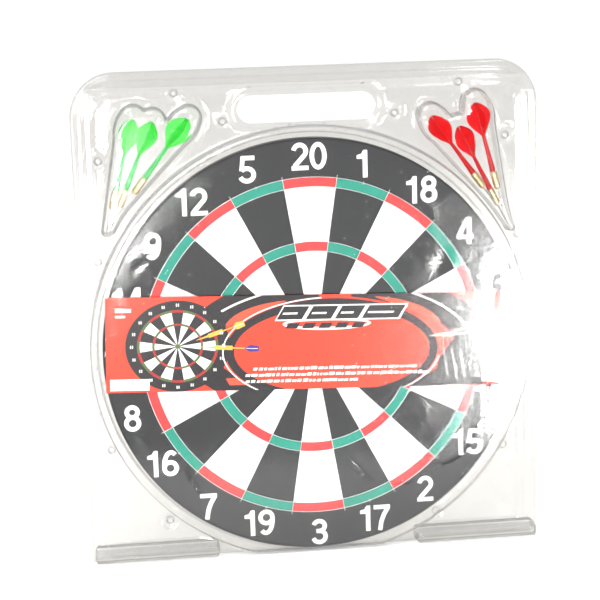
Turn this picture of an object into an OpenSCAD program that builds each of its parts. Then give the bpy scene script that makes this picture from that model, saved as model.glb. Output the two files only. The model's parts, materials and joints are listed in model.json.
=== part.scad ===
// Clock-face dartboard set in a clear hinged clamshell pack.
// X runs to the right, the playing face looks along -Y, Z is up.
// The pack stands on its bottom edge; the origin is the centre of its bottom.

/* [Pack] */
// Overall width of the clamshell
pack_w = 474; // [468:1:500]
// Overall height of the clamshell
pack_h = 508; // [504:1:540]
// Radius of the two top corners
corner_r = 45; // [30:1:60]
// Thickness of the formed plastic sheet
sheet = 0.6; // [0.4:0.05:0.8]
// Depth of the dart pockets and feet in front of the parting plane
front_depth = 15.6; // [15.2:0.1:20]
// Depth of the dart pockets and feet behind the parting plane
rear_depth = 15.6; // [15:0.1:20]
// Inner radius of the dome at its window
dome_r = 227; // [225:0.5:228]
// Depth of the dome window in front of the parting plane
dome_depth = 14; // [13.8:0.1:15]
// Depth of the round pan behind the board
pan_depth = 8.6; // [8.4:0.1:12]
// Height of the feet along the bottom edge
foot_h = 14; // [10:0.5:15]

/* [Carry handle] */
// Length of the handle slot
slot_w = 140; // [110:1:150]
// Height of the handle slot
slot_h = 28; // [24:1:30]
// Height of the slot's middle above the bottom edge
slot_z = 466; // [464:1:470]

/* [Snaps] */
// Radius of the snap studs
stud_r = 3.6; // [3.2:0.1:3.7]
// Radius of the snap sockets
socket_r = 3.9; // [3.85:0.05:4.2]

/* [Board] */
// Outer radius of the board over its edge band
board_r = 216; // [212:0.5:217]
// Thickness of the wound paper core
board_t = 14; // [10:0.5:14.5]
// Radius of the outer double wire
double_r = 177; // [170:1:180]
// Width of the double and treble rings
ring_w = 10; // [8:0.5:12]
// Radius of the outer treble wire
treble_r = 111; // [107:1:115]
// Radius of the outer bull
bull_r = 16.5; // [15.9:0.1:18]
// Radius of the inner bull
inner_bull_r = 6.6; // [6.3:0.1:8]
// Thickness of the ring wires
ring_wire = 0.8; // [0.6:0.1:1]
// Thickness of the radial wires
radial_wire = 0.7; // [0.5:0.1:0.8]
// Radius of the circle on which the numbers stand
number_r = 196.5; // [194:0.5:198]

/* [Hanger] */
// Thickness of the hanger wire
bail_wire = 2; // [1.6:0.1:2]
// Half of the hanger's width
bail_half = 21; // [18:1:30]
// Length of the hanger from its pivot to its far bar
bail_l = 40; // [30:1:50]

/* [Darts] */
// Length of a whole dart
dart_l = 118; // [116:1:120]
// Length of the bare steel point
point_l = 26; // [22:1:28]
// Length of the brass barrel
barrel_l = 19; // [18:1:22]
// Greatest radius of the barrel
barrel_r = 3.75; // [3.4:0.05:3.8]
// Length of the flight along the dart
flight_l = 35; // [32:1:36]
// Half of the flight's width across two vanes
flight_r = 14; // [12:0.5:14]
// Thickness of a vane
vane_t = 0.8; // [0.6:0.1:1]

/* [Label] */
// Width of the printed card behind the window
label_w = 432; // [400:1:433]
// Height of the printed card
label_h = 99; // [80:1:100]
// Height of the card's middle above the bottom edge
label_z = 226.5; // [224:0.5:230]
// Tilt of the card where it has slipped, degrees
label_tilt = 2; // [0:0.5:2.5]

/* [Hidden] */
$fn = 96;

part_gap = 0.15;             // each flange stands this far from the parting plane
board_z = 220;               // height of the board's centre
core_front = -10;            // front of the wound core, along Y
core_back = core_front + board_t;
sheet_front = core_front - 0.6;      // black face sheet
bed_front = sheet_front - 0.2;       // coloured beds and numbers
band_t = 1.6;                // thickness of the edge band
lip_r = board_r - band_t;    // the face sheet ends at the band
lip_front = -11.4;
ring_y = bed_front - ring_wire / 2;
radial_y = bed_front - ring_wire - radial_wire / 2;
card_front = -13.25;
card_t = 0.3;
sticker_t = 0.12;
dome_base = dome_r + 2.5;    // inner radius of the dome where it leaves the flange
pan_base = 222;
pan_r = 219.5;
foot_in = 105;               // feet run from here to foot_out on each side
foot_out = pack_w / 2 - 3;
slot_r = slot_h / 2;
pivot_y = core_back + 1.9;   // hanger pivot
pivot_z = board_z + 213;
// How far each number sits from its place on the circle, right and up
nudge = [
    [0, 1.5], [-6, 1], [-1, 0], [0.5, -1], [0, -2], [1, 2], [-1.5, 0], [1.2, 4.5],
    [-1.2, -0.5], [-0.8, -1.5], [0.8, -3], [-1.6, 1.5], [0.8, -5], [-1.5, 1],
    [-2.5, -3.5], [-2, -2], [-2, -2.5], [-1.5, -2], [-4.5, -2.3], [-2, 0]
];
order = [20, 1, 18, 4, 13, 6, 10, 15, 2, 17, 3, 19, 7, 16, 8, 11, 14, 9, 12, 5];
snap_at = [
    [-133, 485], [-85, 455], [-211, 420], [-216, 318], [-212, 120], [-155, 40],
    [156, 486], [90, 457], [204, 430], [217, 327], [201, 100], [128, 31]
];

// Each dart: x, y and z of its tail, degrees from upright, turn of its vanes
green_at = [
    [-174.9, -4, 460.7, 15.6, 45], [-155.8, 3, 457.1, 23.2, 36], [-120.3, -1, 458.8, 38.1, 15]
];
red_at = [
    [127, -4, 452.1, -35.7, 45], [156.6, 3, 439.9, -26.2, 36], [172.6, -1, 463.7, -14.7, 15]
];

clear_c = [0.92, 0.95, 0.96, 0.3];
black_c = [0.13, 0.14, 0.16];
white_c = [0.97, 0.97, 0.97];
red_c = [0.93, 0.27, 0.27];
green_c = [0.12, 0.6, 0.52];
steel_c = [0.72, 0.73, 0.75];
brass_c = [0.78, 0.66, 0.42];

// ---------- helpers ----------

// A flat shape drawn in X and Z, filling Y from y0 to y1
module slab(y0, y1) {
    translate([0, y1, 0]) rotate([90, 0, 0]) linear_extrude(y1 - y0) children();
}

// A shape turned about the board's axis; its profile is drawn as [radius, -y]
module turned() {
    translate([0, 0, board_z]) rotate([90, 0, 0]) rotate_extrude() children();
}

module box2(x0, x1, z0, z1) {
    translate([x0, z0]) square([x1 - x0, z1 - z0]);
}

// Pack outline: round top corners, square bottom corners
module outline(inset) {
    w = pack_w / 2 - inset;
    r = corner_r - inset;
    top = pack_h - inset;
    box2(-w, w, 0, top - r);
    box2(-w + r, w - r, 0, top);
    for (s = [-1, 1]) translate([s * (w - r), top - r]) circle(r);
}

module stadium(grow) {
    r = slot_r + grow;
    h = slot_w / 2 - slot_r;
    translate([0, slot_z]) {
        for (s = [-1, 1]) translate([s * h, 0]) circle(r);
        square([2 * h, 2 * r], center = true);
    }
}

// Outline round two circles and the straight sides that touch both
module taper2(a, ra, b, rb) {
    d = b - a;
    l = norm(d);
    way = atan2(d[1], d[0]);
    t = acos((ra - rb) / l);
    n = 10;
    polygon(concat(
        [for (i = [0:n]) a + ra * turn(way + t + (360 - 2 * t) * i / n)],
        [for (i = [0:n]) b + rb * turn(way - t + 2 * t * i / n)]
    ));
}

function turn(a) = [cos(a), sin(a)];

// Footprint of one pocket: a wide lobe round each flight, drawn in to each point
module pocket2(at, grow) {
    for (d = at) {
        tail = [d[0], d[2]];
        way = [-sin(d[3]), -cos(d[3])];
        taper2(tail + way * 6, 16 + grow, tail + way * (dart_l - 2), 4.9 + grow);
        taper2(tail - way * 2, 13.5 + grow, tail + way * 12, 16 + grow);
    }
}

module feet2(grow) {
    for (s = [-1, 1]) translate([s * (foot_in + foot_out) / 2, 0])
        box2(-(foot_out - foot_in) / 2 - grow, (foot_out - foot_in) / 2 + grow,
             -grow + sheet, foot_h - sheet + grow);
}

module above(z) {
    intersection() {
        children();
        translate([-300, -50, z]) cube([600, 100, 600]);
    }
}

// One half's flat sheet, with beads round its edge and round the handle
module flange(y0, side, hole_r, at) {
    y1 = y0 + sheet;
    slab(y0, y1) difference() {
        outline(0);
        intersection() {
            translate([0, board_z]) circle(hole_r);
            box2(-300, 300, sheet, 600);
        }
        pocket2(at[0], 0);
        pocket2(at[1], 0);
        feet2(0);
        stadium(0);
        if (side > 0) for (p = snap_at) translate(p) circle(socket_r);
    }
    b0 = side < 0 ? y0 - 1.2 : y1;
    for (i = [6, 12]) slab(b0, b0 + 1.2) intersection() {
        difference() {
            outline(i);
            outline(i + 2.4);
            translate([0, board_z]) circle(hole_r + sheet);
        }
        box2(-300, 300, foot_h + 4, 600);
    }
    for (g = [2, 7]) slab(b0, b0 + 1.2) difference() {
        stadium(g + 2.2);
        stadium(g);
        translate([0, board_z]) circle(hole_r + sheet);
    }
}

// A tray formed out of the flange; its inner and outer footprints are the two children
module tray(y0, y1, side) {
    difference() {
        slab(y0, y1) children(1);
        if (side < 0) slab(y0 + sheet, y1 + 1) children(0);
        else slab(y0 - 1, y1 - sheet) children(0);
    }
}

// ---------- front half of the pack ----------

front_face = -part_gap - sheet;

module front_flange() {
    color(clear_c) flange(front_face, -1, dome_base, [green_at, red_at]);
}

module front_dome_wall() {
    color(clear_c) {
        above(sheet) turned() polygon([
            [dome_base, -front_face], [dome_base + sheet, -front_face],
            [dome_r + sheet, dome_depth - sheet], [dome_r, dome_depth - sheet]
        ]);
        intersection() {
            turned() polygon([
                [0, -front_face], [dome_base + sheet, -front_face],
                [dome_r + sheet, dome_depth], [0, dome_depth]
            ]);
            translate([-100, -50, 0]) cube([200, 100, sheet]);
        }
    }
}

module front_window() {
    color(clear_c) above(sheet) slab(-dome_depth, -dome_depth + sheet)
        translate([0, board_z]) circle(dome_r + sheet);
}

module front_pocket(at) {
    color(clear_c) tray(-front_depth, front_face, -1) {
        pocket2(at, 0);
        pocket2(at, sheet);
    }
}

module front_feet() {
    color(clear_c) tray(-front_depth, front_face, -1) {
        feet2(0);
        feet2(sheet);
    }
}

module snap_studs() {
    color(clear_c) slab(front_face + sheet, 3) for (p = snap_at)
        translate(p) circle(stud_r);
}

module on_card() {
    translate([3, 0, label_z]) rotate([0, label_tilt, 0]) children();
}

module label_card() {
    color([1, 0.31, 0.2]) on_card() slab(card_front, card_front + card_t)
        square([label_w, label_h], center = true);
}

module price_sticker() {
    color(white_c) on_card() slab(card_front - sticker_t, card_front)
        box2(-label_w / 2 + 4, -label_w / 2 + 44, -label_h / 2 + 2, -label_h / 2 + 14);
}

module code_sticker() {
    color(white_c) on_card() slab(card_front - sticker_t, card_front)
        box2(label_w / 2 - 42, label_w / 2 - 6, -label_h / 2 + 4, -label_h / 2 + 46);
}

// ---------- rear half of the pack ----------

rear_face = part_gap + sheet;

module rear_flange() {
    color(clear_c) flange(part_gap, 1, pan_base, [green_at, red_at]);
}

module rear_pan_wall() {
    color(clear_c) {
        above(sheet) turned() polygon([
            [pan_base, -rear_face], [pan_base + sheet, -rear_face],
            [pan_r + sheet, sheet - pan_depth], [pan_r, sheet - pan_depth]
        ]);
        intersection() {
            turned() polygon([
                [0, -rear_face], [pan_base + sheet, -rear_face],
                [pan_r + sheet, -pan_depth], [0, -pan_depth]
            ]);
            translate([-100, -50, 0]) cube([200, 100, sheet]);
        }
    }
}

module rear_pan() {
    color(clear_c) above(sheet) slab(pan_depth - sheet, pan_depth)
        translate([0, board_z]) circle(pan_r + sheet);
}

// Round rib that the board rests against
module pan_rib() {
    color(clear_c) turned() translate([150, sheet - pan_depth])
        square([6, pan_depth - sheet - core_back - 0.3]);
}

module rear_pocket(at) {
    color(clear_c) tray(rear_face, rear_depth, 1) {
        pocket2(at, 0);
        pocket2(at, sheet);
    }
}

module rear_feet() {
    color(clear_c) tray(rear_face, rear_depth, 1) {
        feet2(0);
        feet2(sheet);
    }
}

module snap_sockets() {
    color(clear_c) for (p = snap_at) translate([p[0], 0, p[1]])
        difference() {
            slab(rear_face, 4.2) circle(socket_r + sheet);
            slab(0, 3.6) circle(socket_r);
        }
}

// ---------- board ----------

module board_core() {
    color([0.55, 0.45, 0.33]) slab(core_front, core_back)
        translate([0, board_z]) circle(board_r - band_t);
}

module edge_band() {
    color([0.2, 0.2, 0.21]) turned() polygon([
        [lip_r, -lip_front], [board_r - 0.5, -lip_front], [board_r, -lip_front - 0.8],
        [board_r, -core_back - 0.2], [lip_r, -core_back - 0.2]
    ]);
}

module face_sheet() {
    color(black_c) slab(sheet_front, core_front) translate([0, board_z]) circle(lip_r);
}

module ring2(r0, r1) {
    difference() {
        circle(r1);
        circle(r0);
    }
}

// The ten wedges that hold every second number, starting with number first
module wedges2(first) {
    for (k = [first:2:19]) polygon([
        [0, 0], 220 * [sin(k * 18 - 9), cos(k * 18 - 9)],
        230 * [sin(k * 18), cos(k * 18)], 220 * [sin(k * 18 + 9), cos(k * 18 + 9)]
    ]);
}

module bed_layer() {
    slab(bed_front, sheet_front) translate([0, board_z]) children();
}

module white_beds() {
    color(white_c) bed_layer() intersection() {
        union() {
            ring2(bull_r, treble_r - ring_w);
            ring2(treble_r, double_r - ring_w);
        }
        wedges2(0);
    }
}

module score_rings2(first) {
    intersection() {
        union() {
            ring2(treble_r - ring_w, treble_r);
            ring2(double_r - ring_w, double_r);
        }
        wedges2(first);
    }
}

module red_beds() {
    color(red_c) bed_layer() {
        score_rings2(0);
        circle(inner_bull_r);
    }
}

module green_beds() {
    color(green_c) bed_layer() {
        score_rings2(1);
        ring2(inner_bull_r, bull_r);
    }
}

// ---------- numerals, drawn as strokes ----------

pen = 4.7;

function arc(c, rx, ry, a0, a1, n) =
    [for (i = [0:n]) let (a = a0 + (a1 - a0) * i / n) c + [rx * cos(a), ry * sin(a)]];

function side_way(p, i) =
    let (a = p[max(i - 1, 0)], b = p[min(i + 1, len(p) - 1)], d = (b - a) / norm(b - a))
    [-d[1], d[0]];

module stroke(p) {
    n = len(p);
    polygon(concat(
        [for (i = [0:n - 1]) p[i] + side_way(p, i) * pen / 2],
        [for (i = [n - 1:-1:0]) p[i] - side_way(p, i) * pen / 2]
    ));
}

module loop(c, rx, ry) {
    difference() {
        polygon(arc(c, rx + pen / 2, ry + pen / 2, 0, 350, 35));
        polygon(arc(c, rx - pen / 2, ry - pen / 2, 0, 350, 35));
    }
}

module digit(d) {
    if (d == 0) loop([0, 0], 6.4, 11.65);
    if (d == 1) polygon([
        [-6.2, 5.2], [-6.2, 8.9], [-1.6, 10.2], [0.6, 14], [4.6, 14], [4.6, -14],
        [-0.2, -14], [-0.2, 5.2]
    ]);
    if (d == 2) {
        stroke(concat(arc([0, 5.3], 6.2, 6.35, 172, -38, 14), [[-5.6, -9.9]]));
        box2(-8.6, 8.6, -14, -9.5);
    }
    if (d == 3) {
        stroke(arc([-0.3, 6.2], 5.9, 5.45, 165, -88, 16));
        stroke(arc([-0.3, -5.4], 6.6, 6.25, 88, -165, 16));
        box2(-3.4, 0.6, -1.6, 3);
    }
    if (d == 4) {
        box2(1.7, 6.3, -14, 14);
        box2(-9, 9, -8.6, -4.3);
        stroke([[3, 13], [-7.4, -6]]);
    }
    if (d == 5) {
        box2(-5.6, 7.6, 9.5, 14);
        polygon([[-6.2, 14], [-1.9, 14], [-3.6, -1.2], [-8, -1.2]]);
        stroke(arc([-0.5, -5.2], 6.9, 6.4, 140, -160, 18));
    }
    if (d == 6) {
        loop([0.2, -5.3], 6.3, 6.3);
        stroke(arc([1.2, -3.4], 7.3, 15.05, 55, 184, 14));
    }
    if (d == 7) {
        box2(-8.7, 8.7, 9.4, 14);
        stroke([[6.4, 10.4], [2.2, 3.4], [-0.6, -4], [-2.2, -14]]);
    }
    if (d == 8) {
        loop([0, 6.35], 5.5, 5.3);
        loop([0, -5.4], 6.4, 6.25);
    }
    if (d == 9) rotate(180) digit(6);
}

module number2(v) {
    if (v < 10) digit(v);
    else {
        translate([v < 20 ? -9.4 : -9.3, 0]) digit(floor(v / 10));
        translate([v < 20 ? 7.6 : 9.3, 0]) digit(v % 10);
    }
}

module numbers() {
    color(white_c) bed_layer() intersection() {
        for (k = [0:19])
            translate(number_r * [sin(k * 18), cos(k * 18)] + nudge[k]) number2(order[k]);
        ring2(double_r + ring_wire, lip_r - 0.2);
    }
}

// ---------- wires ----------

module ring_wires() {
    color(steel_c) for (r = [inner_bull_r, bull_r, treble_r - ring_w, treble_r,
                             double_r - ring_w, double_r])
        turned() translate([r, -ring_y]) circle(ring_wire / 2, $fn = 24);
}

module radial_wires() {
    color(steel_c) for (k = [0:19]) translate([0, radial_y, board_z])
        rotate([0, k * 18 + 9, 0]) translate([0, 0, bull_r])
            cylinder(r = radial_wire / 2, h = double_r + 3 - bull_r, $fn = 24);
}

// Staples that hold the outer double wire, one in each green segment
module wire_staples() {
    r = 0.35;
    color(steel_c) for (k = [1:2:19]) translate([0, 0, board_z]) rotate([0, k * 18, 0])
        translate([0, bed_front - ring_wire - r, double_r]) {
            translate([0, 0, -1.2]) cylinder(r = r, h = 2.4, $fn = 24);
            for (s = [-1, 1]) translate([0, ring_wire + r, s * 1.2]) rotate([90, 0, 0])
                cylinder(r = r, h = ring_wire + r, $fn = 24);
        }
}

module hanger_eyelets() {
    color([0.16, 0.16, 0.17]) for (s = [-1, 1])
        translate([s * (bail_half - 5), pivot_y, pivot_z]) rotate([0, 90, 0])
            difference() {
                cylinder(r = 1.7, h = 5, center = true, $fn = 48);
                cylinder(r = bail_wire / 2 + 0.06, h = 6, center = true, $fn = 48);
            }
}

module hanger_wire() {
    r = bail_wire / 2;
    color([0.2, 0.2, 0.21]) translate([0, pivot_y, pivot_z]) {
        for (s = [-1, 1]) {
            translate([s * bail_half, 0, 0]) sphere(r, $fn = 32);
            translate([s * (bail_half - 4.5), 0, 0]) rotate([0, 90, 0])
                cylinder(r = r, h = 9, center = true, $fn = 32);
            translate([s * bail_half, 0, -bail_l]) {
                cylinder(r = r, h = bail_l, $fn = 32);
                sphere(r, $fn = 32);
            }
        }
        translate([0, 0, -bail_l]) rotate([0, 90, 0])
            cylinder(r = r, h = 2 * bail_half, center = true, $fn = 32);
    }
}

// ---------- darts, drawn upright with the point's tip at zero ----------

barrel_end = point_l + barrel_l;
stem_end = dart_l - flight_l;
spigot_r = 2.05;
spigot_l = 7.5;
hub_r = 1.7;

module set_dart(d) {
    translate([d[0], d[1], d[2]]) rotate([0, d[3], 0]) translate([0, 0, -dart_l]) children();
}

module point() {
    color(steel_c) rotate_extrude($fn = 48) polygon([
        [0, 0], [0.12, 0.2], [0.95, 9], [0.95, point_l + 8], [0, point_l + 8]
    ]);
}

// Turned barrel: a nose, a row of grip grooves and a plain tail, bored at both ends
module barrel() {
    pitch = 1.6;
    grooves = 7;
    g0 = point_l + 4;
    color(brass_c) rotate_extrude($fn = 64) polygon(concat(
        [[0.95, point_l], [2.1, point_l], [3, point_l + 1.2], [barrel_r, point_l + 3.2]],
        [for (i = [0:grooves - 1]) for (j = [0:3])
            [barrel_r - (j == 1 || j == 2 ? 0.45 : 0), g0 + pitch * (i + [0, 0.2, 0.45, 0.65][j])]],
        [[barrel_r, barrel_end - 1.6], [3.2, barrel_end], [spigot_r + 0.05, barrel_end],
         [spigot_r + 0.05, barrel_end - spigot_l - 0.5],
         [0.95, barrel_end - spigot_l - 0.5]]
    ));
}

module stem(c) {
    color(c) rotate_extrude($fn = 64) polygon([
        [0, barrel_end - spigot_l], [spigot_r, barrel_end - spigot_l], [spigot_r, barrel_end],
        [3, barrel_end], [3.1, barrel_end + 1], [2.9, barrel_end + 3],
        [2.2, barrel_end + 20], [1.8, stem_end], [0, stem_end]
    ]);
}

function vane_w(t) = hub_r + (flight_r - hub_r) * pow(sin(180 * pow(t, 1.4)), 0.8);

// Moulded flight: four vanes, seen as a cross from the tail
module flight(c, roll) {
    n = 22;
    edge = [for (i = [0:n]) [vane_w(i / n), stem_end + flight_l * i / n]];
    back = [for (i = [n:-1:0]) [-vane_w(i / n), stem_end + flight_l * i / n]];
    color(c) {
        for (a = [0, 90]) rotate([0, 0, a + roll]) rotate([90, 0, 0])
            linear_extrude(vane_t, center = true) polygon(concat(edge, back));
        translate([0, 0, stem_end]) cylinder(r = hub_r, h = flight_l - 4, $fn = 48);
    }
}

green_stem_c = [0.4, 0.82, 0.52];
green_flight_c = [0.3, 0.9, 0.36];
red_stem_c = [0.82, 0.16, 0.16];
red_flight_c = [0.92, 0.1, 0.1];

module dart_bit(d, what, stem_c, flight_c) {
    set_dart(d) {
        if (what == "point") point();
        if (what == "barrel") barrel();
        if (what == "stem") stem(stem_c);
        if (what == "flight") flight(flight_c, d[4]);
    }
}

module green_bit(i, what) {
    dart_bit(green_at[i], what, green_stem_c, green_flight_c);
}

module red_bit(i, what) {
    dart_bit(red_at[i], what, red_stem_c, red_flight_c);
}

front_flange();
front_dome_wall();
front_window();
front_pocket(green_at);  // front_pocket_left
front_pocket(red_at);  // front_pocket_right
front_feet();
snap_studs();
label_card();
price_sticker();
code_sticker();
rear_flange();
rear_pan_wall();
rear_pan();
pan_rib();
rear_pocket(green_at);  // rear_pocket_left
rear_pocket(red_at);  // rear_pocket_right
rear_feet();
snap_sockets();
board_core();
edge_band();
face_sheet();
white_beds();
red_beds();
green_beds();
numbers();
ring_wires();
radial_wires();
wire_staples();
hanger_eyelets();
hanger_wire();
green_bit(0, "point");  // green_dart_1_point
green_bit(0, "barrel");  // green_dart_1_barrel
green_bit(0, "stem");  // green_dart_1_stem
green_bit(0, "flight");  // green_dart_1_flight
green_bit(1, "point");  // green_dart_2_point
green_bit(1, "barrel");  // green_dart_2_barrel
green_bit(1, "stem");  // green_dart_2_stem
green_bit(1, "flight");  // green_dart_2_flight
green_bit(2, "point");  // green_dart_3_point
green_bit(2, "barrel");  // green_dart_3_barrel
green_bit(2, "stem");  // green_dart_3_stem
green_bit(2, "flight");  // green_dart_3_flight
red_bit(0, "point");  // red_dart_1_point
red_bit(0, "barrel");  // red_dart_1_barrel
red_bit(0, "stem");  // red_dart_1_stem
red_bit(0, "flight");  // red_dart_1_flight
red_bit(1, "point");  // red_dart_2_point
red_bit(1, "barrel");  // red_dart_2_barrel
red_bit(1, "stem");  // red_dart_2_stem
red_bit(1, "flight");  // red_dart_2_flight
red_bit(2, "point");  // red_dart_3_point
red_bit(2, "barrel");  // red_dart_3_barrel
red_bit(2, "stem");  // red_dart_3_stem
red_bit(2, "flight");  // red_dart_3_flight
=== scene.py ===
"""Looks for a clock-face dartboard set in a clear hinged clamshell.

Lengths are in millimetres until a mesh is made; X right, the board looks along -Y, Z up.
"""

import json
import math
import random

import bpy
import numpy as np
from mathutils import Matrix, Vector, kdtree
from mathutils.geometry import delaunay_2d_cdt


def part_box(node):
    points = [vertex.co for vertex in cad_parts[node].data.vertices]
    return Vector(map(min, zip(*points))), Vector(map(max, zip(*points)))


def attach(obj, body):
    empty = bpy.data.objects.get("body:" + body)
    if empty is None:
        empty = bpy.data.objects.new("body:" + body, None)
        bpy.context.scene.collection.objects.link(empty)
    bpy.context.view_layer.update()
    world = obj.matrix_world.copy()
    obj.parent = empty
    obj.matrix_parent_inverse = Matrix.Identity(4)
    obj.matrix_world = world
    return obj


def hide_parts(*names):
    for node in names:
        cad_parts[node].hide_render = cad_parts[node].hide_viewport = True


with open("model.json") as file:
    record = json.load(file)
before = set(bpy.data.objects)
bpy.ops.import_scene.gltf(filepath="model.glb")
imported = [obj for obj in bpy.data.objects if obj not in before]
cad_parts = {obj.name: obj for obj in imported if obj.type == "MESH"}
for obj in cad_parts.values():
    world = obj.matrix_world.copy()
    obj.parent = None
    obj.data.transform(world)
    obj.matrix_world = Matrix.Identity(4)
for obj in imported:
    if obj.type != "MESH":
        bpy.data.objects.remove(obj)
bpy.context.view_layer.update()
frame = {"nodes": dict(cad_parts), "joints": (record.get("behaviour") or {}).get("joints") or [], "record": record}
MM = 0.001


# ---------- places read from the frame ----------

def box_mm(node):
    """Lowest and highest corner of a CAD node, in millimetres."""
    low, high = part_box(node)
    return low / MM, high / MM


flange_high = box_mm("front_flange")[1]
core_low, core_high = box_mm("board_core")
feet_low, feet_high = box_mm("front_feet")
rear_feet_high = box_mm("rear_feet")[1]
dome_high = box_mm("front_dome_wall")[1]
window_low = box_mm("front_window")[0]
pan_wall_high = box_mm("rear_pan_wall")[1]
pan_high = box_mm("rear_pan")[1]
card_low = box_mm("label_card")[0]

HALF_W = flange_high.x
TOP = flange_high.z
CORNER_R = 45
BOARD_Z = (core_low.z + core_high.z) / 2
BAND_T = 1.6         # thickness of the board's edge band
BOARD_R = core_high.x + BAND_T
SLOT_Z = frame["record"]["mounts"][1]["pos_m"][2] / MM
SLOT_HALF = 56
SLOT_R = 14
SNAPS = [(-133, 485), (-85, 455), (-211, 420), (-216, 318), (-212, 120), (-155, 40),
         (156, 486), (90, 457), (204, 430), (217, 327), (201, 100), (128, 31)]
FOOT_IN = 104.4
SHEET_Y = 0.45       # middle of each half's flat sheet, off the parting plane
SHEET_T = 0.42       # thickness of the clear sheet
STUD_R, SOCKET_R = 3.6, 4.6          # snaps, over their turned-up edge
SNAP_EDGE = 0.9      # width of that edge
BOTTOM_Z = 0.5       # dome and pan are cut flat this far above the pack's bottom edge
JOINTS = {j["name"]: j for j in frame["joints"]}
DARTS = ["green_dart_1", "green_dart_2", "green_dart_3",
         "red_dart_1", "red_dart_2", "red_dart_3"]
DART_L = 118


def dart_axis(dart):
    """Tail position and unit vector from point to tail of a dart, from its joint."""
    joint = JOINTS[dart + "_unscrew"]
    return Vector(joint["pos_m"]) / MM, Vector(joint["axis"]).normalized()


# ---------- node materials ----------

def material(name):
    """An empty node material, its tree, and its output node."""
    mat = bpy.data.materials.new(name)
    mat.use_nodes = True
    tree = mat.node_tree
    tree.nodes.clear()
    out = tree.nodes.new("ShaderNodeOutputMaterial")
    return mat, tree, out


def add(tree, kind, inputs=None, **settings):
    """A node with its settings, and its inputs set to values or linked to sockets."""
    node = tree.nodes.new(kind)
    for key, value in settings.items():
        setattr(node, key, value)
    for key, value in (inputs or {}).items():
        if isinstance(value, bpy.types.NodeSocket):
            tree.links.new(value, node.inputs[key])
        else:
            node.inputs[key].default_value = value
    return node


def place(tree, centre=(0, 0, 0)):
    """Object coordinates in metres, moved to a centre."""
    coords = add(tree, "ShaderNodeTexCoord").outputs["Object"]
    moved = add(tree, "ShaderNodeVectorMath", {0: coords, 1: centre}, operation="SUBTRACT")
    return moved.outputs[0]


def noise_at(tree, vector, scale, detail=4, rough=0.55):
    node = add(tree, "ShaderNodeTexNoise", {"Vector": vector, "Scale": scale,
                                            "Detail": detail, "Roughness": rough})
    return node.outputs["Fac"]


def ramp(tree, value, stops):
    """Colour ramp from (position, colour) pairs."""
    node = add(tree, "ShaderNodeValToRGB", {"Fac": value})
    points = node.color_ramp.elements
    while len(points) < len(stops):
        points.new(0.5)
    for point, (at, colour) in zip(points, stops):
        point.position = at
        point.color = (*colour, 1)
    return node.outputs["Color"]


def between(tree, value, low, high):
    """Maps a 0.3 to 0.7 noise onto low to high."""
    node = add(tree, "ShaderNodeMapRange", {"Value": value, "From Min": 0.3, "From Max": 0.7,
                                            "To Min": low, "To Max": high})
    return node.outputs["Result"]


def bumped(tree, height, strength, distance):
    node = add(tree, "ShaderNodeBump", {"Height": height, "Strength": strength,
                                        "Distance": distance})
    return node.outputs["Normal"]


def srgb(r, g, b):
    """A display colour, 0 to 255, as linear light."""
    def one(c):
        c = c / 255
        return c / 12.92 if c < 0.04045 else ((c + 0.055) / 1.055) ** 2.4
    return (one(r), one(g), one(b))


def shade(colour, factor):
    return tuple(min(1, c * factor) for c in colour)


def solid(name, colour, rough, vary=0.06, grain=900, bump=0.15):
    """Mottled colour, uneven gloss and a fine grain in the surface."""
    mat, tree, out = material(name)
    at = place(tree)
    broad = noise_at(tree, at, grain / 12)
    fine = noise_at(tree, at, grain, detail=6)
    tint = ramp(tree, broad, [(0.3, shade(colour, 1 - vary)), (0.7, shade(colour, 1 + vary))])
    shader = add(tree, "ShaderNodeBsdfPrincipled", {
        "Base Color": tint, "Roughness": between(tree, fine, rough * 0.85, rough * 1.15),
        "Normal": bumped(tree, fine, bump, 0.0001)})
    tree.links.new(shader.outputs[0], out.inputs["Surface"])
    return mat


def clear_sheet(name, tint, haze):
    """Formed clear sheet: straight through face on, greyer and glossier edge on."""
    mat, tree, out = material(name)
    at = place(tree)
    ripple = noise_at(tree, at, 38, detail=3)
    grain = noise_at(tree, at, 420, detail=5)
    rough_mix = add(tree, "ShaderNodeMath", {0: ripple, 1: grain}, operation="ADD")
    normal = bumped(tree, rough_mix.outputs[0], 0.25, 0.0006)
    facing = add(tree, "ShaderNodeLayerWeight", {"Blend": 0.5}).outputs["Facing"]
    through = ramp(tree, facing, [(0.0, tint), (0.45, shade(tint, 0.95)),
                                  (0.8, shade(tint, 0.74)), (0.97, shade(tint, 0.5))])
    clear = add(tree, "ShaderNodeBsdfTransparent", {"Color": through})
    gloss = add(tree, "ShaderNodeBsdfGlossy", {
        "Color": (1, 1, 1, 1), "Normal": normal,
        "Roughness": between(tree, grain, 0.02, 0.07)})
    milk = add(tree, "ShaderNodeBsdfTranslucent", {"Color": (0.86, 0.87, 0.88, 1)})
    cloudy = add(tree, "ShaderNodeMixShader", {0: between(tree, ripple, haze * 0.5, haze * 1.5),
                                               1: clear.outputs[0], 2: milk.outputs[0]})
    mirror = add(tree, "ShaderNodeMapRange", {"Value": facing, "From Min": 0.25,
                                              "From Max": 1.0, "To Min": 0.035,
                                              "To Max": 0.42})
    both = add(tree, "ShaderNodeMixShader", {0: mirror.outputs[0], 1: cloudy.outputs[0],
                                             2: gloss.outputs[0]})
    tree.links.new(both.outputs[0], out.inputs["Surface"])
    return mat


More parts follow.
